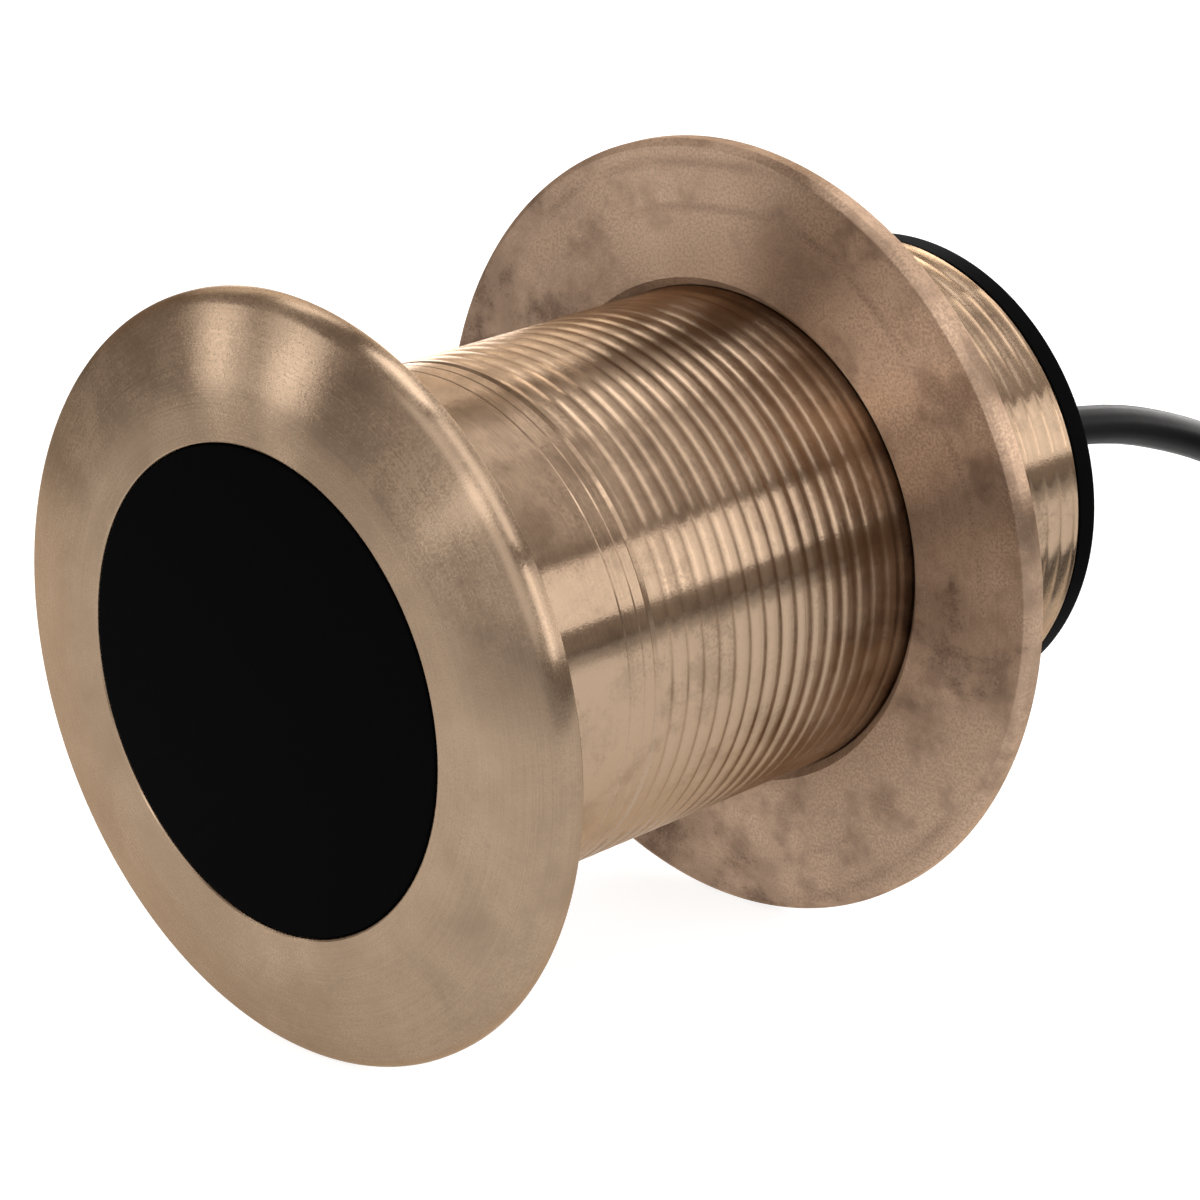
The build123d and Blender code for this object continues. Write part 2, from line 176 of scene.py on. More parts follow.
# Edges, as pairs: how far in from the side a point lies, and how far in from the end
broken_edge = ((0.0003, 0.0), (0.0001, 0.0001), (0.0, 0.0003))
window_edge = ((0.0004, 0.0), (0.00012, 0.00003), (0.0, 0.00018))
window_seat_edge = ((0.0, 0.0003), (-0.00005, 0.0001), (-0.0002, 0.0))
nut_front_edge = ((0.0008, 0.0), (0.0006, 0.00008), (0.00006, 0.0006), (0.0, 0.0008))
boot_base_edge = ((0.0003, 0.0), (0.0, 0.0003))
boot_tip_edge = ((0.0004, 0.0), (0.0, 0.0005))
plug_boot_root = ((-0.0003, 0.0), (0.0, 0.0003))
plug_grip_edge = ((0.0008, 0.0), (0.0002, 0.0003), (0.0, 0.0009))
ring_front_edge = ((0.0006, 0.0), (0.0001, 0.0003), (0.0, 0.0008))
ring_rear_edge = ((0.0005, 0.0), (0.0001, 0.0003), (0.0, 0.0008))

# Round-bottomed groove, as shares of its width and of its depth
groove_section = ((-0.5, 0), (-0.32, 0.7), (0, 1), (0.32, 0.7), (0.5, 0))

# Mesh detail
round_steps = 192
small_steps = 96
ring_steps = 240
thread_steps = 12
dome_steps = 12
dome_first_step = 3
blend_steps = 8
fillet_steps = 6
corner_steps = 3
tie_corner_steps = 8
cable_section_steps = 4
cable_curve_steps = 10
sharp_angle = radians(32)
weld_distance = 2e-6
sliver_length = 1e-6

# Bronze: its lathe lines, and the stains and thin dark rings that the photograph shows
lathe_lines_across = 9000.0
lathe_lines_along = 40.0
head_end_range = (head_thickness, head_thickness + 0.001)
head_blotch_share = 0.25
# Thin dark rings round the centre line: how far each wavers, and how dark it is at most
dark_ring_waver = 0.009
dark_ring_strength = 0.34

# Places on the bronze where lamps are mirrored, as distance behind the face and radius
head_mirror = (0.0015, 0.0315)
stem_mirror = (0.035, 0.0254)
nut_mirror = (0.0615, 0.034)

# Lamps, by the turns and the tilts of the bronze that mirrors them, with their radiance
lamp_distance = 1.2
dome_strips = (("strip_far", (-11.5, -1)), ("strip_near", (5.5, 16.5)))
dome_strip_tilts = ((3, 8), (8, 14), (14, 20.5))
dome_strip_radiance = 5.6
front_strip_turns = (47, 53)
front_strip_tilts = ((12, 21), (21, 30), (30, 40), (40, 52))
front_strip_radiance = 1.7
side_box_turns = (26, 78)
side_box_tilts = (20, 48)
side_box_radiance = 1.5
right_box_turns = (60.5, 74.5)
right_box_tilts = ((62, 78), (78, 102), (102, 126))
right_box_radiances = (4.4, 1.47, 4.4)
stem_box_tilts = ((60, 80), (80, 100), (100, 120))
stem_boxes = (
    ("box_high", (36, 58.5), (3.0, 0.2, 3.0)),
    ("box_above", (22, 35), (5.0, 0.4, 5.0)),
    ("box_behind", (4, 11), (4.0, 1.25, 4.0)),
    ("box_low", (-12, 0), (1.7, 0.98, 1.7)),
)

# Room and floor
white = (1.0, 1.0, 1.0, 1.0)
room_level = 0.46
room_colour = (1.0, 0.87, 0.79, 1.0)
floor_half_width = 4.0
floor_colour = (0.4, 0.4, 0.4, 1.0)
floor_glow = 0.82
# Painted pool of light on the floor, seen only in mirrors: its centre and the reach over which it
# fades out
floor_light_pool_centre = (0.02, 0.13)
floor_light_pool_reach = (0.25, 0.42)


def axis_frame(origin, direction):
    """Frame of a turned piece: local Z along its centre line, X level, Y downwards."""
    level = direction.cross(Vector((0, 0, 1))).normalized()
    down = direction.cross(level)
    return Matrix.Translation(origin) @ Matrix((level, down, direction)).transposed().to_4x4()


joints = {joint["name"]: joint for joint in frame["joints"]}
stem_direction = Vector(joints["nut_travel"]["axis"]).normalized()
window_low, window_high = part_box("acoustic_window")
face_centre = (window_low + window_high - stem_direction * window_thickness) / 2
stem_frame = axis_frame(face_centre, stem_direction)
plug_direction = Vector((cos(plug_heading), sin(plug_heading), 0))
plug_frame = axis_frame(plug_mouth, plug_direction)


def on_stem(distance):
    """Point on the stem's centre line at a distance behind the face."""
    return stem_frame @ Vector((0, 0, distance))


# Shapes
def add_object(name, data):
    """New object in the scene."""
    new_object = bpy.data.objects.new(name, data)
    bpy.context.scene.collection.objects.link(new_object)
    return new_object


def mesh_object(name, surface, place, slot, body):
    """Closed mesh piece from points and faces in its own frame, welded, normals outwards."""
    points, faces = surface
    mesh = bpy.data.meshes.new(name)
    mesh.from_pydata(points, [], faces)
    work = bmesh.new()
    work.from_mesh(mesh)
    bmesh.ops.remove_doubles(work, verts=work.verts, dist=weld_distance)
    bmesh.ops.dissolve_degenerate(work, edges=work.edges, dist=sliver_length)
    bmesh.ops.recalc_face_normals(work, faces=work.faces)
    work.to_mesh(mesh)
    work.free()
    mesh.shade_smooth()
    mesh.set_sharp_from_angle(angle=sharp_angle)
    mesh.materials.append(materials[slot])
    piece = add_object(name, mesh)
    piece.matrix_world = place
    shading = piece.modifiers.new("weighted_normals", "WEIGHTED_NORMAL")
    shading.weight = 100
    shading.keep_sharp = True
    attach(piece, body)
    return piece


def ring_points(radius_of, distance_of, steps):
    """Points of one ring round the centre line; both functions take the angle."""
    ring = []
    for step in range(steps):
        angle = 2 * pi * step / steps
        radius = radius_of(angle)
        ring.append((radius * cos(angle), radius * sin(angle), distance_of(angle)))
    return ring


def turned_rings(outline, steps=round_steps):
    """Rings of a turned shape from (radius, distance) pairs."""
    return [ring_points(lambda _, r=r: r, lambda _, s=s: s, steps) for r, s in outline]


def skin(rings, closed):
    """Points and faces over rings that all have the same number of points."""
    steps = len(rings[0])
    points = [point for ring in rings for point in ring]
    faces = []
    for row in range(len(rings) if closed else len(rings) - 1):
        low = row * steps
        high = (row + 1) % len(rings) * steps
        for step in range(steps):
            after = (step + 1) % steps
            faces.append((low + step, low + after, high + after, high + step))
    return points, faces


def joined(surfaces):
    """Points and faces of several surfaces as one."""
    points = []
    faces = []
    for more_points, more_faces in surfaces:
        offset = len(points)
        points += more_points
        faces += [tuple(corner + offset for corner in face) for face in more_faces]
    return points, faces


def arc(centre, radius, first_angle, last_angle, steps, first_step=0):
    """Outline points of an arc; angle 0 is in front of its centre, a right angle beside it."""
    points = []
    for step in range(first_step, steps + 1):
        angle = first_angle + (last_angle - first_angle) * step / steps
        points.append((centre[0] + radius * sin(angle), centre[1] - radius * cos(angle)))
    return points


def front_edge(radius, distance, edge):
    """Outline points of an edge at a front end."""
    return [(radius - from_side, distance + from_end) for from_side, from_end in edge]


def rear_edge(radius, distance, edge):
    """Outline points of an edge at a rear end, from the side to the end."""
    return [(radius - from_side, distance - from_end) for from_side, from_end in reversed(edge)]


def rounded(corners, cuts, steps=corner_steps):
    """Closed outline whose corners are rounded; a corner's cut is how far its arc reaches."""
    outline = []
    count = len(corners)
    for index, (corner, cut) in enumerate(zip(corners, cuts)):
        here = Vector(corner)
        if cut == 0:
            outline.append(tuple(here))
            continue
        before = (Vector(corners[index - 1]) - here).normalized() * cut
        after = (Vector(corners[(index + 1) % count]) - here).normalized() * cut
        for step in range(steps + 1):
            share = step / steps
            outline.append(tuple(here + before * (1 - share) ** 2 + after * share**2))
    return outline


def grooved_taper(start, end, start_radius, end_radius, count, width, depth):
    """Outline of a taper with evenly spaced round-bottomed grooves."""
    outline = []
    length = end - start
    spacing = length / (count + 1)
    for index in range(count):
        middle = start + spacing * (index + 1)
        for width_share, depth_share in groove_section:
            distance = middle + width_share * width
            radius = start_radius + (end_radius - start_radius) * (distance - start) / length
            outline.append((radius - depth * depth_share, distance))
    return outline


def smooth_share(value):
    """Eased value between 0 and 1."""
    value = min(max(value, 0.0), 1.0)
    return value * value * (3 - 2 * value)


# Nodes of materials
def start_material(name):
    """New node material with its tree and its Principled shader."""
    material = bpy.data.materials.new(name)
    material.use_nodes = True
    return material, material.node_tree, material.node_tree.nodes["Principled BSDF"]


def fill_inputs(tree, node, inputs):
    """Inputs of a node, each one a value or a link from another node's output."""
    for key, value in inputs.items():
        if isinstance(value, bpy.types.NodeSocket):
            tree.links.new(value, node.inputs[key])
        else:
            node.inputs[key].default_value = value


def add_node(tree, kind, inputs, **settings):
    """New node with its settings and its inputs."""
    node = tree.nodes.new(kind)
    for key, value in settings.items():
        setattr(node, key, value)
    fill_inputs(tree, node, inputs)
    return node


def calculate(tree, operation, first, second=0.0, third=0.0):
    """Output of one Math node."""
    inputs = {0: first, 1: second, 2: third}
    return add_node(tree, "ShaderNodeMath", inputs, operation=operation).outputs[0]


def weighted(tree, *parts):
    """Sum of outputs, each times its weight."""
    value, weight = parts[0]
    total = calculate(tree, "MULTIPLY", value, weight)
    for value, weight in parts[1:]:
        total = calculate(tree, "MULTIPLY_ADD", value, weight, total)
    return total


def noise(tree, place, scale, detail, roughness=0.6, distortion=0.0):
    """Output of a noise texture, about 0.5 in the middle."""
    inputs = {"Vector": place, "Scale": scale, "Detail": detail, "Roughness": roughness,
              "Distortion": distortion}
    return add_node(tree, "ShaderNodeTexNoise", inputs).outputs["Fac"]


def centred_noise(tree, place, scale, detail, roughness=0.6, distortion=0.0):
    """Output of a noise texture, about 0 in the middle."""
    value = noise(tree, place, scale, detail, roughness, distortion)
    return calculate(tree, "SUBTRACT", value, 0.5)


def remap(tree, value, old_range, new_range=(0.0, 1.0)):
    """Value moved from one range to another, clamped and eased."""
    inputs = {"Value": value, "From Min": old_range[0], "From Max": old_range[1],
              "To Min": new_range[0], "To Max": new_range[1]}
    node = add_node(tree, "ShaderNodeMapRange", inputs, interpolation_type="SMOOTHSTEP")
    return node.outputs["Result"]


def mix_colour(tree, share, first, second):
    """Output of one colour mix."""
    inputs = {0: share, 6: first, 7: second}
    return add_node(tree, "ShaderNodeMix", inputs, data_type="RGBA").outputs[2]


def shade(colour, level=1.0):
    """Colour at a level of brightness, with its alpha."""
    return tuple(min(part * level, 1.0) for part in colour) + (1.0,)


def add_bump(tree, height, strength, distance, under=None):
    """Normal output of a bump, over another normal if one is given."""
    inputs = {"Height": height, "Strength": strength, "Distance": distance}
    if under is not None:
        inputs["Normal"] = under
    return add_node(tree, "ShaderNodeBump", inputs).outputs["Normal"]


def object_place(tree):
    """Object coordinates and their three parts."""
    place = add_node(tree, "ShaderNodeTexCoord", {}).outputs["Object"]
    x, y, z = add_node(tree, "ShaderNodeSeparateXYZ", {0: place}).outputs
    return place, x, y, z


# Materials
def turned_place(tree):
    """Place, radius, distance and coordinates that change fast across a lathe's lines."""
    place, x, y, z = object_place(tree)
    x_squared = calculate(tree, "MULTIPLY", x, x)
    y_squared = calculate(tree, "MULTIPLY", y, y)
    outwards = calculate(tree, "SQRT", calculate(tree, "ADD", x_squared, y_squared))
    lines = add_node(tree, "ShaderNodeCombineXYZ", {
        0: weighted(tree, (x, lathe_lines_along), (outwards, lathe_lines_across)),
        1: weighted(tree, (y, lathe_lines_along), (z, lathe_lines_across)),
        2: calculate(tree, "MULTIPLY", calculate(tree, "SUBTRACT", x, y), lathe_lines_along),
    })
    return place, outwards, z, lines.outputs[0]


def dark_ring(tree, place, outwards, radius, half_width):
    """Strength of one wavering, broken dark ring round the centre line."""
    swell = centred_noise(tree, place, 28.0, detail=1.0, roughness=0.5)
    from_ring = calculate(tree, "SUBTRACT", outwards, radius)
    wavering = calculate(tree, "MULTIPLY_ADD", swell, dark_ring_waver, from_ring)
    line = remap(tree, calculate(tree, "ABSOLUTE", wavering), (0.0, half_width), (1.0, 0.0))
    patches = noise(tree, place, 70.0, detail=3.0)
    broken = remap(tree, patches, (0.4, 0.62), (0.0, dark_ring_strength))
    return calculate(tree, "MULTIPLY", line, broken)


def bronze_stain(tree, place, dust, behind_head, cloud_strength, blotch_strength):
    """Strength of wide stain clouds and of small blotches, which are fainter on the head."""
    clouds = noise(tree, place, 45.0, detail=5.0, roughness=0.65, distortion=0.3)
    clouds = calculate(tree, "ADD", clouds, dust)
    clouds = remap(tree, clouds, (0.47, 0.68), (0.0, cloud_strength))
    blotches = calculate(tree, "ADD", noise(tree, place, 170.0, detail=5.0), dust)
    blotches = remap(tree, blotches, (0.48, 0.66), (0.0, blotch_strength))
    spread = calculate(tree, "MULTIPLY_ADD", behind_head, 1 - head_blotch_share, head_blotch_share)
    return calculate(tree, "ADD", clouds, calculate(tree, "MULTIPLY", blotches, spread))


def bronze_material(name, base, shadow, roughness, stem_roughness, speckle, stem_tone,
                    cloud_strength, blotch_strength, dark_rings):
    """Turned bronze: lathe lines, fine speckle and soft mottling, with stains and thin dark rings
    over them.
    """
    material, tree, shader = start_material(name)
    place, outwards, z, lines = turned_place(tree)
    streaks = centred_noise(tree, lines, 1.0, detail=2.0, roughness=0.5)
    grain = centred_noise(tree, place, 3300.0, detail=2.0)
    mottle = centred_noise(tree, place, 110.0, detail=4.0, distortion=0.4)
    behind_head = remap(tree, z, head_end_range)

    tone = weighted(tree, (grain, speckle), (streaks, 0.3), (mottle, 0.6), (behind_head, stem_tone))
    tone = remap(tree, tone, (-0.25, 0.25))
    colour = mix_colour(tree, tone, shade(base, 0.78), shade(base, 1.16))
    dust = calculate(tree, "MULTIPLY", grain, 0.3)
    stain = bronze_stain(tree, place, dust, behind_head, cloud_strength, blotch_strength)
    # Thin dark rings round the centre line darken the colour towards the same dark colour as the
    # stains
    for radius, half_width in dark_rings:
        ring = dark_ring(tree, place, outwards, radius, half_width)
        stain = calculate(tree, "MAXIMUM", stain, ring)

    finish = remap(tree, z, head_end_range, (roughness, stem_roughness))
    uneven = weighted(tree, (mottle, 0.25), (streaks, 0.1), (grain, 0.2))
    tangent = add_node(tree, "ShaderNodeTangent", {}, direction_type="RADIAL", axis="Z")
    lathe_bump = add_bump(tree, streaks, 0.25, 0.00004)
    fill_inputs(tree, shader, {
        "Base Color": mix_colour(tree, stain, colour, shade(shadow)),
        "Metallic": 1.0,
        "Roughness": calculate(tree, "ADD", uneven, finish),
        "Anisotropic": 1.0,
        "Anisotropic Rotation": 0.25,
        "Specular Tint": (0.8, 0.66, 0.54, 1.0),
        "Tangent": tangent.outputs[0],
        "Normal": add_bump(tree, grain, 0.12, 0.00004, lathe_bump),
    })
    return material


def plain_material(name, colour, roughness, metallic=0.0, grain_scale=1500.0, grain_depth=0.00002,
                   variation=0.12, coat=0.0, specular=0.5, patch_scale=60.0):
    """Moulded, drawn or cast surface: a fine grain and a slow change of tone."""
    material, tree, shader = start_material(name)
    place = object_place(tree)[0]
    grain = noise(tree, place, grain_scale, detail=3.0)
    patches = noise(tree, place, patch_scale, detail=4.0)
    tone = remap(tree, patches, (0.35, 0.65))
    grain_share = 0.06
    patch_share = 0.14
    uneven = weighted(tree, (grain, grain_share), (patches, patch_share))
    smoothest = roughness - (grain_share + patch_share) / 2
    fill_inputs(tree, shader, {
        "Base Color": mix_colour(tree, tone, shade(colour, 1 - variation),
                                 shade(colour, 1 + variation)),
        "Metallic": metallic,
        "Roughness": calculate(tree, "ADD", uneven, smoothest),
        "Coat Weight": coat,
        "Specular IOR Level": specular,
        "Normal": add_bump(tree, grain, 0.4, grain_depth),
    })
    return material


def tie_material(name):
    """Woven nylon: ribs across the band and a fine weave over them, whose low places are painted
    darker as painted shade.
    """
    material, tree, shader = start_material(name)
    place = object_place(tree)[0]
    ribs = add_node(tree, "ShaderNodeTexWave", {"Vector": place, "Scale": 260.0, "Distortion": 0.6},
                    wave_type="BANDS", bands_direction="Z").outputs["Fac"]
    weave = noise(tree, place, 2200.0, detail=2.0)
    height = weighted(tree, (weave, 0.4), (ribs, 0.6))
    # Painted shade: the weave's low places are coloured darker than its high ones
    fill_inputs(tree, shader, {
        "Base Color": mix_colour(tree, height, shade((0.012, 0.012, 0.013)),
                                 shade((0.045, 0.045, 0.048))),
        "Roughness": 0.78,
        "Sheen Weight": 0.3,
        "Normal": add_bump(tree, height, 0.7, 0.00012),
    })
    return material


# Each bronze finish's shadow is the dark colour that its stains and thin dark rings mix towards
bronze_finishes = {
    "bronze": {
        "base": (0.303, 0.221, 0.154), "shadow": (0.1, 0.062, 0.04), "roughness": 0.25,
        "stem_roughness": 0.19, "speckle": 0.45, "stem_tone": 0.2, "cloud_strength": 0.14,
        "blotch_strength": 0.28, "dark_rings": ()},
    "nut_bronze": {
        "base": (0.43, 0.303, 0.215), "shadow": (0.12, 0.074, 0.052), "roughness": 0.42,
        "stem_roughness": 0.42, "speckle": 2.0, "stem_tone": 0.0, "cloud_strength": 0.48,
        "blotch_strength": 0.42, "dark_rings": ((0.0335, 0.0009), (0.0387, 0.0012))},
}
plain_finishes = {
    "window_urethane": {"colour": (0.0007, 0.0007, 0.0008), "roughness": 0.5,
                        "grain_scale": 900.0, "variation": 0.1, "specular": 0.008},
    "ceramic": {"colour": (0.62, 0.58, 0.48), "roughness": 0.5, "grain_scale": 3000.0},
    "cork_rubber": {"colour": (0.23, 0.14, 0.08), "roughness": 0.85, "grain_scale": 700.0,
                    "grain_depth": 0.00015, "variation": 0.45, "patch_scale": 500.0},
    "solder": {"colour": (0.6, 0.6, 0.58), "roughness": 0.3, "metallic": 1.0},
    "signal_insulation": {"colour": (0.5, 0.03, 0.02), "roughness": 0.4, "coat": 0.2},
    "return_insulation": {"colour": (0.03, 0.03, 0.03), "roughness": 0.4, "coat": 0.2},
    "potting_resin": {"colour": (0.03, 0.025, 0.02), "roughness": 0.25, "grain_scale": 400.0,
                      "coat": 0.5},
    "cap_plastic": {"colour": (0.0008, 0.0008, 0.0009), "roughness": 0.55,
                    "grain_scale": 2400.0, "grain_depth": 0.00003, "specular": 0.01},
    "boot_rubber": {"colour": (0.011, 0.011, 0.012), "roughness": 0.6, "grain_scale": 1800.0},
    "cable_jacket": {"colour": (0.0012, 0.0012, 0.0014), "roughness": 0.42,
                     "grain_scale": 900.0, "grain_depth": 0.00004, "specular": 0.1},
    "plug_moulding": {"colour": (0.013, 0.013, 0.014), "roughness": 0.5,
                      "grain_scale": 2600.0, "grain_depth": 0.00003},
    "ring_plastic": {"colour": (0.02, 0.021, 0.023), "roughness": 0.38, "grain_scale": 2600.0},
    "nickel": {"colour": (0.62, 0.6, 0.55), "roughness": 0.22, "metallic": 1.0,
               "grain_scale": 2200.0, "variation": 0.05},
    "insulator": {"colour": (0.025, 0.026, 0.03), "roughness": 0.45},
    "gold_plate": {"colour": (0.83, 0.58, 0.22), "roughness": 0.2, "metallic": 1.0,
                   "variation": 0.05},
    "seal_rubber": {"colour": (0.3, 0.06, 0.03), "roughness": 0.6},
}
materials = {name: bronze_material(name, **finish) for name, finish in bronze_finishes.items()}
for name, finish in plain_finishes.items():
    materials[name] = plain_material(name, **finish)
materials["tie_nylon"] = tie_material("tie_nylon")


# Housing and its window
def dome_outline():
    """The head's front: a flat face that runs smoothly into the dome, and its round shoulder."""
    span = head_radius - head_shoulder_radius - head_flat_radius
    slope = head_dome_slope
    drop = head_dome_height * cos(slope) - head_shoulder_radius - span * sin(slope)
    big = (span**2 + head_dome_height**2 - head_shoulder_radius**2) / (2 * drop)
    end_slope = atan2(span + big * sin(slope), big * cos(slope) - head_dome_height)
    dome_centre = (head_flat_radius - big * sin(slope), big * cos(slope))
    dome = arc(dome_centre, big, slope, end_slope, dome_steps, dome_first_step)
    first_radius, first_drop = dome[0]
    first_slope = slope + (end_slope - slope) * dome_first_step / dome_steps
    corner = first_radius - first_drop / tan(first_slope)
    reach = first_drop / sin(first_slope)
    blend = []
    for step in range(blend_steps):
        share = step / blend_steps
        radius = corner - reach * (1 - share) ** 2 + (first_radius - corner) * share**2
        blend.append((radius, first_drop * share**2))
    shoulder_centre = (head_radius - head_shoulder_radius, head_dome_height)
    shoulder = arc(shoulder_centre, head_shoulder_radius, end_slope, pi / 2, blend_steps, 1)
    return blend + dome + shoulder


def neck_outline():
    """The neck, from the fillet at the hull seat over its two fine lines to the end groove."""
    fillet_centre = (stem_radius + neck_fillet, head_thickness + neck_fillet)
    outline = arc(fillet_centre, neck_fillet, 0.0, -pi / 2, fillet_steps)
    cuts = [(place, neck_line_depth) for place in neck_line_places]
    cuts.append((neck_end + neck_groove_depth, neck_groove_depth))
    for place, depth in cuts:
        outline += [(stem_radius, place - depth), (stem_radius - depth, place),
                    (stem_radius, place + depth)]
    return outline


def thread_line(row, start, end):
    """One helical line along the thread, held between the thread's two ends."""
    depth = (cos(pi * row / thread_steps) ** 2) ** thread_crest_power
    line = []
    for step in range(round_steps):
        angle = 2 * pi * step / round_steps
        climb = thread_pitch * (row / thread_steps - 1 - step / round_steps)
        distance = min(max(start + climb, start), end)
        growth = smooth_share((distance - start) / thread_run_out)
        radius = stem_radius - thread_depth * depth * growth
        radius = min(radius, stem_radius - thread_end_chamfer + end - distance)
        if distance == start:
            radius = stem_radius
        line.append((radius * cos(angle), radius * sin(angle), distance))
    return line


def thread_skin(start, end):
    """Points and faces of the thread; each line runs on into the one a turn before it."""
    last = (ceil((end - start) / thread_pitch) + 2) * thread_steps
    points = []
    for row in range(last + 1):
        points += thread_line(row, start, end)
    faces = []
    for row in range(last):
        for step in range(round_steps - 1):
            low = row * round_steps + step
            high = low + round_steps
            faces.append((low, low + 1, high + 1, high))
        low_start = max(row - thread_steps, 0) * round_steps
        high_start = max(row + 1 - thread_steps, 0) * round_steps
        low_end = (row + 1) * round_steps - 1
        faces.append((low_end, low_start, high_start, low_end + round_steps))
    return points, faces


def make_housing():
    """One bronze casting, turned outside, with its thread cut from the neck to the rear end."""
    seat = window_radius + bond_gap
    recess = window_thickness + bond_gap
    front = [(stem_bore_radius, recess), (seat, recess)]
    front += front_edge(seat, 0.0, window_seat_edge)
    front += dome_outline()
    front += rear_edge(head_radius, head_thickness, broken_edge)
    front += neck_outline()
    rear = [(stem_radius - thread_end_chamfer, stem_end), (stem_bore_radius, stem_end),
            (stem_bore_radius, recess)]
    surface = joined([
        skin(turned_rings(front), False),
        thread_skin(neck_end + 2 * neck_groove_depth, stem_end),
        skin(turned_rings(rear), False),
    ])
    piece = mesh_object("bronze_housing", surface, stem_frame, "bronze", "transducer")
    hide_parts("housing")


def make_window():
    """Black acoustic window, flush with the face."""
    outline = [(0.0, 0.0)]
    outline += front_edge(window_radius, 0.0, window_edge)
    outline += [(window_radius, window_thickness), (0.0, window_thickness)]
    surface = skin(turned_rings(outline), False)
    piece = mesh_object("acoustic_face", surface, stem_frame, "window_urethane", "transducer")
    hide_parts("acoustic_window")


# Rear cap, boot and nut
def make_cap():
    """Black rear cap with a shallow step round the cable's boot."""
    front = stem_end - cap_spigot_length
    rear = stem_end + cap_thickness
    inner = boot_plug_radius + bond_gap
    spigot = stem_bore_radius - bond_gap
    sunk = rear - cap_step_depth
    corners = [(inner, front), (spigot, front), (spigot, stem_end), (cap_radius, stem_end),
               (cap_radius, rear), (cap_step_outer, rear), (cap_step_outer - cap_step_depth, sunk),
               (cap_step_inner + cap_step_depth, sunk), (cap_step_inner, rear), (inner, rear)]
    cuts = [0, cap_spigot_cut, 0, cap_seat_cut, cap_edge_cut] + [cap_step_cut] * 4 + [0]
    surface = skin(turned_rings(rounded(corners, cuts)), True)
    piece = mesh_object("rear_cap", surface, stem_frame, "cap_plastic", "transducer")
    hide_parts("end_cap")


def make_boot():
    """Ribbed rubber boot that tapers along the cable."""
    front = stem_end - cap_spigot_length
    base = stem_end + cap_thickness
    tip = base + boot_length
    outline = [(cable_radius, front), (boot_plug_radius, front), (boot_plug_radius, base)]
    outline += front_edge(boot_base_radius, base, boot_base_edge)
    outline += grooved_taper(base, tip, boot_base_radius, boot_tip_radius, **boot_grooves)
    outline += rear_edge(boot_tip_radius, tip, boot_tip_edge)
    outline.append((cable_radius, tip))
    surface = skin(turned_rings(outline, small_steps), True)
    piece = mesh_object("cable_boot", surface, stem_frame, "boot_rubber", "transducer")
    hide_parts("strain_relief")
    return piece


def hex_radius(angle):
    """Distance of the nut's hexagon at an angle; its corners lie at 0, 60, 120 degrees."""
    return nut_hex_half_width / cos(angle % (pi / 3) - pi / 6)


def make_nut():
    """Flanged hull nut: a turned flange with a low wrench hexagon behind it."""
    flange_rear = nut_front + nut_flange_thickness
    rear = flange_rear + nut_hex_height

    def chamfer_end(angle):
        """Where the rear chamfer's cone meets the hexagon's side."""
        return rear - (hex_radius(angle) - nut_hex_half_width) * nut_hex_chamfer_slope

    def root_radius(angle):
        """Foot of the hexagon's fillet on the flange."""
        return hex_radius(angle) + nut_hex_fillet

    flange = [(nut_bore_radius, nut_front + nut_countersink),
              (nut_bore_radius + nut_countersink, nut_front)]
    flange += front_edge(nut_flange_radius, nut_front, nut_front_edge)
    flange += rear_edge(nut_flange_radius, flange_rear, broken_edge)
    rings = turned_rings(flange)
    rings.append(ring_points(root_radius, lambda _: flange_rear, round_steps))
    rings.append(ring_points(hex_radius, lambda _: flange_rear + nut_hex_fillet, round_steps))
    rings.append(ring_points(hex_radius, chamfer_end, round_steps))
    rings += turned_rings([(nut_hex_half_width, rear), (nut_bore_radius + nut_countersink, rear),
                           (nut_bore_radius, rear - nut_countersink)])
    piece = mesh_object("flanged_nut", skin(rings, True), stem_frame, "nut_bronze", "nut")
    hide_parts("hull_nut")


# Cable
def coil_point(row, place_in_row, angle_degrees, rng):
    """Control point in one place of the winding, tighter and lifted a little at the ties."""
    closeness = 0.0
    for tie in coil_tie_angles:
        apart = abs((angle_degrees - tie + 180) % 360 - 180)
        closeness = max(closeness, exp(-((apart / coil_tie_reach) ** 2)))
    pitch = coil_tight_pitch * (1 + coil_slack * (1 - closeness))
    offset = (place_in_row - (coil_row_counts[row] - 1) / 2) * pitch
    height = cable_radius + row * coil_row_step * pitch + coil_tie_lift * closeness
    # Between points on a circle, the spline runs at this share of their radius
    spline_share = 0.75 + 0.25 * cos(2 * pi / coil_points_per_turn)
    radius = (coil_mean_radius + offset + rng.uniform(-coil_jitter, coil_jitter)) / spline_share
    angle = radians(angle_degrees)
    return coil_centre + Vector((radius * cos(angle), radius * sin(angle), height))


def coil_places():
    """Row and place of each turn: rows from the floor up, wound inwards and outwards in turn."""
    places = []
    for row, count in enumerate(coil_row_counts):
        order = reversed(range(count)) if row % 2 == 0 else range(count)
        places += [(row, place) for place in order]
    return places


def coil_points():
    """Control points of the wound turns, seen from above clockwise."""
    rng = Random(coil_seed)
    places = coil_places()
    step_angle = 360 / coil_points_per_turn
    last_turn_steps = round((coil_start_angle - coil_last_angle) / step_angle)
    points = []
    for turn, (row, place) in enumerate(places):
        last = turn == len(places) - 1
        next_row, next_place = places[turn] if last else places[turn + 1]
        for step in range(last_turn_steps + 1 if last else coil_points_per_turn):
            turned_share = step / coil_points_per_turn
            share = smooth_share((turned_share - coil_crossing_start) / coil_crossing_share)
            angle = coil_start_angle - step * step_angle
            here = coil_point(row, place, angle, rng)
            there = coil_point(next_row, next_place, angle, rng)
            points.append(here.lerp(there, share))
    return points


def around_coil(angle_degrees, offset, height):
    """Point beside the winding."""
    angle = radians(angle_degrees)
    radius = coil_mean_radius + offset
    return coil_centre + Vector((radius * cos(angle), radius * sin(angle), height))


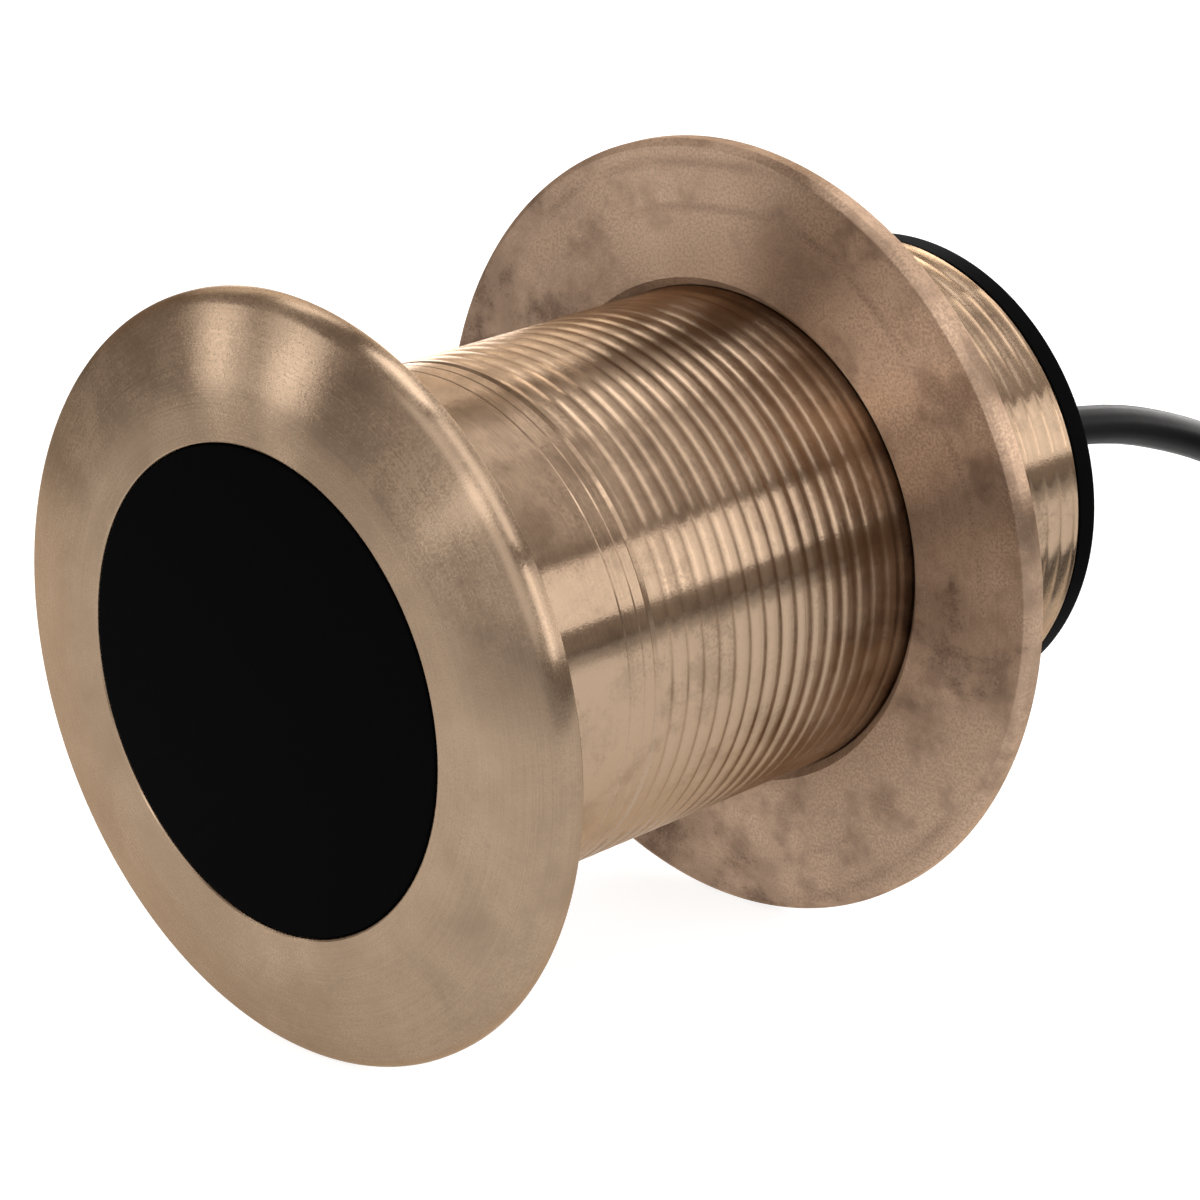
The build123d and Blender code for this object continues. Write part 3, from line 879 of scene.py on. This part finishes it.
def cable_route():
    """Control points of the whole cable, from inside the stem to inside the plug."""
    plug_end = plug_frame @ Vector((0, 0, plug_boot_end))
    lead = [
        on_stem(cable_buried_end),
        on_stem(cable_bend),
        Vector((0.0, 0.1015, 0.0348)),
        Vector((-0.004, 0.1195, 0.0235)),
        Vector((-0.016, 0.1345, 0.010)),
        Vector((-0.0285, 0.1495, floor_height)),
    ]
    descent = [
        around_coil(68, 0.0125, 0.0318),
        around_coil(48, 0.0170, 0.0285),
        around_coil(30, 0.0180, 0.0215),
    ]
    tail = [
        coil_centre + Vector((0.049, 0.009, 0.013)),
        Vector((0.0575, 0.1585, 0.0035)),
        Vector((0.052, 0.141, floor_height)),
        plug_end + plug_direction * plug_straight_run,
        plug_end,
    ]
    return lead + coil_points() + descent + tail


def make_cable():
    """The whole cable as one smooth line with a round section."""
    curve = bpy.data.curves.new("cable", "CURVE")
    curve.dimensions = "3D"
    curve.bevel_depth = cable_radius
    curve.bevel_resolution = cable_section_steps
    curve.use_fill_caps = True
    route = cable_route()
    spline = curve.splines.new("NURBS")
    spline.points.add(len(route) - 1)
    for point, place in zip(spline.points, route):
        point.co = (*place, 1.0)
    spline.order_u = 3
    spline.use_endpoint_u = True
    spline.resolution_u = cable_curve_steps
    spline.use_smooth = True
    curve.materials.append(materials["cable_jacket"])
    piece = add_object("cable", curve)
    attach(piece, "transducer")
    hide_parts("cable_lead", "cable_coil", "plug_tail")
    return piece


def make_tie(name, node, angle_degrees):
    """Woven band round the wound turns, with round corners and soft edges."""
    angle = radians(angle_degrees)
    out = Vector((cos(angle), sin(angle), 0))
    up = Vector((0, 0, 1))
    half_x, half_y = tie_half_span
    middle = coil_centre + out * coil_mean_radius + up * (half_y + tie_floor_gap)
    place = Matrix.Translation(middle) @ Matrix((out, up, out.cross(up))).transposed().to_4x4()
    outlines = []
    for inset in (0, tie_thickness):
        x = half_x - inset
        y = half_y - inset
        corners = [(x, -y), (x, y), (-x, y), (-x, -y)]
        outlines.append(rounded(corners, [tie_corner_cut - inset] * 4, tie_corner_steps))
    half = tie_width / 2
    soft = half - tie_edge
    near = tie_edge_share
    far = 1 - tie_edge_share
    rings = []
    for share, depth in ((0, -soft), (near, -half), (far, -half), (1, -soft),
                         (1, soft), (far, half), (near, half), (0, soft)):
        rings.append([(outer_x + (inner_x - outer_x) * share,
                       outer_y + (inner_y - outer_y) * share, depth)
                      for (outer_x, outer_y), (inner_x, inner_y) in zip(*outlines)])
    piece = mesh_object(name, skin(rings, True), place, "tie_nylon", "transducer")
    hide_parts(node)
    return piece


# Plug
def make_plug_body():
    """Moulded grip with finger ribs and a ribbed boot."""
    outline = [(0.0, plug_insert_rear), (plug_insert_radius, plug_insert_rear),
               (plug_insert_radius, plug_body_front)]
    outline += front_edge(plug_grip_radius, plug_body_front, plug_grip_edge)
    outline += grooved_taper(plug_body_front + plug_grip_margin, plug_body_rear - plug_grip_margin,
                             plug_grip_radius, plug_grip_radius, **plug_grip_grooves)
    outline += rear_edge(plug_grip_radius, plug_body_rear, plug_grip_edge)
    outline += front_edge(plug_boot_base_radius, plug_body_rear, plug_boot_root)
    outline += grooved_taper(plug_body_rear, plug_boot_end, plug_boot_base_radius,
                             plug_boot_tip_radius, **plug_boot_grooves)
    outline += rear_edge(plug_boot_tip_radius, plug_boot_end, boot_tip_edge)
    outline.append((0.0, plug_boot_end))
    surface = skin(turned_rings(outline, small_steps), False)
    piece = mesh_object("plug_grip", surface, plug_frame, "plug_moulding", "transducer")
    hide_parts("plug_body")
    return piece


def flute_depth(angle):
    """Depth of the coupling ring's round flutes at an angle."""
    turn = 2 * pi / ring_flutes
    half_width = ring_flute_width / 2 / ring_radius
    apart = abs(angle % turn - turn / 2) / half_width
    return ring_flute_depth * smooth_share(ring_flute_reach - apart)


def fluted_ring(from_side, distance, depth_share=1.0):
    """Points of one ring on the coupling ring's fluted side."""
    return ring_points(lambda angle: ring_radius - from_side - flute_depth(angle) * depth_share,
                       lambda _: distance, ring_steps)


def make_ring():
    """Coupling ring with round flutes, a plain band in front and a lip behind."""
    outline = [(ring_lip_radius, ring_rear), (ring_lip_radius, ring_lip_front),
               (ring_thread_radius, ring_lip_front),
               (ring_thread_radius, ring_front + ring_bore_chamfer),
               (ring_thread_radius + ring_bore_chamfer, ring_front)]
    outline += front_edge(ring_radius, ring_front, ring_front_edge)
    outline.append((ring_radius, ring_front + ring_band_width))
    rings = turned_rings(outline, ring_steps)
    for from_front, depth_share in ring_flute_starts:
        rings.append(fluted_ring(0.0, ring_front + from_front, depth_share))
    for from_side, from_end in reversed(ring_rear_edge):
        rings.append(fluted_ring(from_side, ring_rear - from_end))
    piece = mesh_object("locking_ring", skin(rings, True), plug_frame, "ring_plastic", "plug_ring")
    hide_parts("coupling_ring")
    return piece


def finish_nodes(kept):
    """Materials of the CAD nodes whose own shape is shown."""
    for node, material in kept.items():
        frame["nodes"][node].material_slots[0].material = materials[material]


# Camera, light and floor
def make_camera():
    """Camera of the photograph."""
    data = bpy.data.cameras.new("camera")
    data.lens = camera_lens
    data.sensor_width = camera_sensor
    camera = add_object("camera", data)
    camera.location = camera_place
    camera.rotation_euler = (camera_pitch, 0, camera_heading)
    bpy.context.scene.camera = camera


def mirrored(turn, tilt, behind_face, radius):
    """Place on the turned bronze, at a turn from the top towards the camera, and the direction
    that it mirrors to the camera if it is tilted outwards by an angle from facing forwards."""
    outwards = Vector((sin(radians(turn)), -cos(radians(turn)), 0))
    place = stem_frame @ (outwards * radius + Vector((0, 0, behind_face)))
    facing = outwards * sin(radians(tilt)) - Vector((0, 0, cos(radians(tilt))))
    normal = (stem_frame.to_3x3() @ facing).normalized()
    towards = (Vector(camera_place) - place).normalized()
    return place, (2 * normal.dot(towards) * normal - towards).normalized()


def make_lamp(name, turns, tilts, mirror_place, radiance):
    """Soft box that the bronze mirrors to the camera over a range of turns and of tilts."""
    turn = sum(turns) / 2
    tilt = sum(tilts) / 2
    place, direction = mirrored(turn, tilt, *mirror_place)
    across = mirrored(turns[1], tilt, *mirror_place)[1] - mirrored(turns[0], tilt, *mirror_place)[1]
    along = mirrored(turn, tilts[1], *mirror_place)[1] - mirrored(turn, tilts[0], *mirror_place)[1]
    side = (across - direction * across.dot(direction)).normalized()
    data = bpy.data.lights.new(name, "AREA")
    data.shape = "RECTANGLE"
    data.size = lamp_distance * across.length
    data.size_y = lamp_distance * along.length
    data.energy = radiance * pi * data.size * data.size_y
    axes = Matrix((side, direction.cross(side), direction)).transposed()
    lamp = add_object(name, data)
    lamp.matrix_world = Matrix.Translation(place + direction * lamp_distance) @ axes.to_4x4()


def make_lamps():
    """Soft boxes and strips of a product studio, long ones in short lengths."""
    for index, tilts in enumerate(dome_strip_tilts):
        for name, turns in dome_strips:
            make_lamp(f"{name}_{index}", turns, tilts, head_mirror, dome_strip_radiance)
    for index, tilts in enumerate(front_strip_tilts):
        make_lamp(f"strip_front_{index}", front_strip_turns, tilts, head_mirror,
                  front_strip_radiance)
    make_lamp("box_side", side_box_turns, side_box_tilts, nut_mirror, side_box_radiance)
    for index, (tilts, radiance) in enumerate(zip(right_box_tilts, right_box_radiances)):
        make_lamp(f"box_right_{index}", right_box_turns, tilts, stem_mirror, radiance)
    for index, tilts in enumerate(stem_box_tilts):
        for name, turns, radiances in stem_boxes:
            make_lamp(f"{name}_{index}", turns, tilts, stem_mirror, radiances[index])


def make_world():
    """Dim room behind the lamps; the camera sees it white."""
    world = bpy.data.worlds.new("studio")
    bpy.context.scene.world = world
    world.use_nodes = True
    tree = world.node_tree
    seen = add_node(tree, "ShaderNodeLightPath", {}).outputs["Is Camera Ray"]
    fill_inputs(tree, tree.nodes["Background"], {
        "Color": mix_colour(tree, seen, room_colour, white),
        "Strength": calculate(tree, "MAXIMUM", seen, room_level),
    })


def floor_material():
    """Grey that takes light and shadow, with an even glow for the camera and a painted pool of
    light close by for mirrors.
    """
    material = bpy.data.materials.new("floor_white")
    material.use_nodes = True
    tree = material.node_tree
    tree.nodes.clear()
    path = add_node(tree, "ShaderNodeLightPath", {}).outputs
    _, x, y, _ = object_place(tree)
    from_centre = add_node(tree, "ShaderNodeCombineXYZ", {
        0: calculate(tree, "SUBTRACT", x, floor_light_pool_centre[0]),
        1: calculate(tree, "SUBTRACT", y, floor_light_pool_centre[1])}).outputs[0]
    reach = add_node(tree, "ShaderNodeVectorMath", {0: from_centre}, operation="LENGTH")
    # Painted pool of light: mirrors see the floor's glow only round the object, fading out further
    # away
    pool = remap(tree, reach.outputs["Value"], floor_light_pool_reach, (1.0, 0.0))
    mirror_ray = calculate(tree, "MAXIMUM", path["Is Glossy Ray"], path["Is Transmission Ray"])
    in_mirrors = calculate(tree, "MULTIPLY", pool, mirror_ray)
    shown = calculate(tree, "MAXIMUM", path["Is Camera Ray"], in_mirrors)
    strength = calculate(tree, "MULTIPLY", shown, floor_glow)
    lit = add_node(tree, "ShaderNodeBsdfDiffuse", {"Color": floor_colour})
    glow = add_node(tree, "ShaderNodeEmission", {"Color": white, "Strength": strength})
    both = add_node(tree, "ShaderNodeAddShader", {0: lit.outputs[0], 1: glow.outputs[0]})
    add_node(tree, "ShaderNodeOutputMaterial", {"Surface": both.outputs[0]})
    return material


def make_floor():
    """Floor that keeps the object's soft shadow."""
    half = floor_half_width
    corners = [(-half, -half, 0), (half, -half, 0), (half, half, 0), (-half, half, 0)]
    mesh = bpy.data.meshes.new("floor")
    mesh.from_pydata(corners, [], [(0, 1, 2, 3)])
    mesh.materials.append(floor_material())
    floor = add_object("floor", mesh)


make_camera()
cable = make_cable()
make_housing()
make_window()
make_cap()
boot = make_boot()
make_nut()
tie_far = make_tie("tie_far", "coil_tie_far", coil_tie_angles[0])
tie_near = make_tie("tie_near", "coil_tie_near", coil_tie_angles[1])
plug_grip = make_plug_body()
ring = make_ring()
finish_nodes({
    "piezo_element": "ceramic",
    "element_sleeve": "cork_rubber",
    "backing_disc": "cork_rubber",
    "solder_joints": "solder",
    "signal_wire": "signal_insulation",
    "return_wire": "return_insulation",
    "potting": "potting_resin",
    "plug_shell": "nickel",
    "plug_insert": "insulator",
    "plug_pins": "gold_plate",
    "plug_seal": "seal_rubber",
})
make_lamps()
make_world()
make_floor()

bpy.context.scene.view_settings.view_transform = "Standard"
